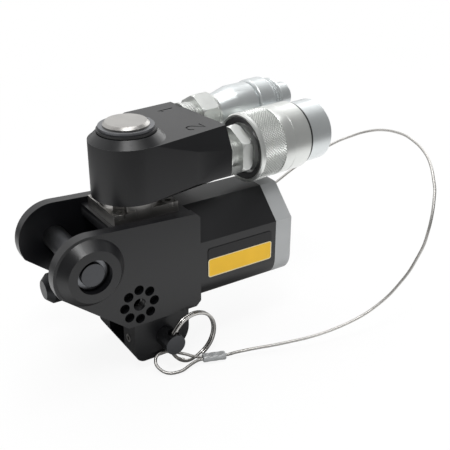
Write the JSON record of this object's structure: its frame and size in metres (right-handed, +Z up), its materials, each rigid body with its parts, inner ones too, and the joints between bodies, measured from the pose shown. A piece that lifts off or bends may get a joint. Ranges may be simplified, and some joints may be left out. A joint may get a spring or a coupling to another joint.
{
  "type": "hydraulic torque wrench",
  "caption": "Drive unit of a modular hydraulic torque wrench: black yoke and cylinder, swivel manifold with hose couplers, retaining pin on a wire lanyard",
  "frame": {"origin": "Middle of the cross pin between the two ears, where the cassette hooks on", "axes": "+X runs rearwards along the cylinder to the end cap, +Z is up to the swivel, -Y is the side with the handle socket and the retaining pin's head"},
  "size_m": [0.2122, 0.1102, 0.118],
  "materials": {
    "black_anodised": "satin black anodised aluminium",
    "silver_anodised": "satin natural anodised aluminium",
    "zinc_steel": "bright nickel and zinc plated turned steel",
    "dark_steel": "black oxide steel",
    "ground_steel": "ground steel",
    "bronze": "turned bronze",
    "seal": "nitrile rubber",
    "washer_black": "black acetal",
    "wire": "bare wire rope"
  },
  "bodies": {
    "frame": {"housing": "black_anodised", "end_cap": "silver_anodised", "cap_screws": "dark_steel", "cap_seal": "seal", "rod_gland": "bronze", "rod_seal": "seal", "cross_pin": "dark_steel", "cross_pin_clips": "dark_steel", "retainer_lug": "black_anodised", "lug_screws": "dark_steel", "detent_plunger": "ground_steel", "swivel_stem": "ground_steel", "stem_screws": "dark_steel", "stem_seals": "seal", "stem_clip": "dark_steel", "thrust_washer": "washer_black", "lanyard": "wire", "anchor_tag": "ground_steel", "anchor_screw": "dark_steel"},
    "manifold": {"swivel_block": "black_anodised", "swivel_seals": "seal", "passage_plugs": "dark_steel", "port_washers": "zinc_steel", "adapter_a": "zinc_steel", "nipple_body": "zinc_steel", "nipple_nose": "zinc_steel", "adapter_b": "zinc_steel", "socket_body": "zinc_steel", "collar_clip": "washer_black", "socket_nose": "zinc_steel"},
    "spin_collar": {"collar": "zinc_steel"},
    "valve_a": {"nipple_poppet": "ground_steel"},
    "valve_b": {"socket_poppet": "ground_steel"},
    "ram": {"piston": "ground_steel", "piston_seal": "seal", "piston_rod": "dark_steel", "piston_nut": "dark_steel"},
    "retainer": {"retaining_pin": "dark_steel", "ferrule": "silver_anodised"},
    "ring": {"pull_ring": "ground_steel"}
  },
  "joints": [
    {"name": "swivel_turn", "type": "hinge", "parent": "frame", "child": "manifold", "pos_m": [0.0312, 0, 0.0353], "axis": [0, 0, 1], "continuous": true},
    {"name": "collar_spin", "type": "hinge", "parent": "manifold", "child": "spin_collar", "pos_m": [0.10766, -0.00131, 0.032], "axis": [0.9956, 0.0941, 0], "continuous": true},
    {"name": "valve_a_press", "type": "slide", "parent": "manifold", "child": "valve_a", "axis": [-0.9956, -0.0941, 0], "range_m": [0, 0.003], "stiffness_N_per_m": 400, "springref_m": -0.002},
    {"name": "valve_b_press", "type": "slide", "parent": "manifold", "child": "valve_b", "axis": [-0.9956, -0.0941, 0], "range_m": [0, 0.003], "stiffness_N_per_m": 400, "springref_m": -0.002},
    {"name": "ram_stroke", "type": "slide", "parent": "frame", "child": "ram", "axis": [-1, 0, 0], "range_m": [0, 0.025]},
    {"name": "retainer_pull", "type": "slide", "parent": "frame", "child": "retainer", "axis": [0, -1, 0], "range_m": [0, 0.048], "deforming": ["lanyard"]},
    {"name": "ring_swing", "type": "hinge", "parent": "retainer", "child": "ring", "pos_m": [0.0371, -0.0266, -0.0463], "axis": [0, 0, 1], "range_deg": [-3, 14], "deforming": ["lanyard"]}
  ]
}
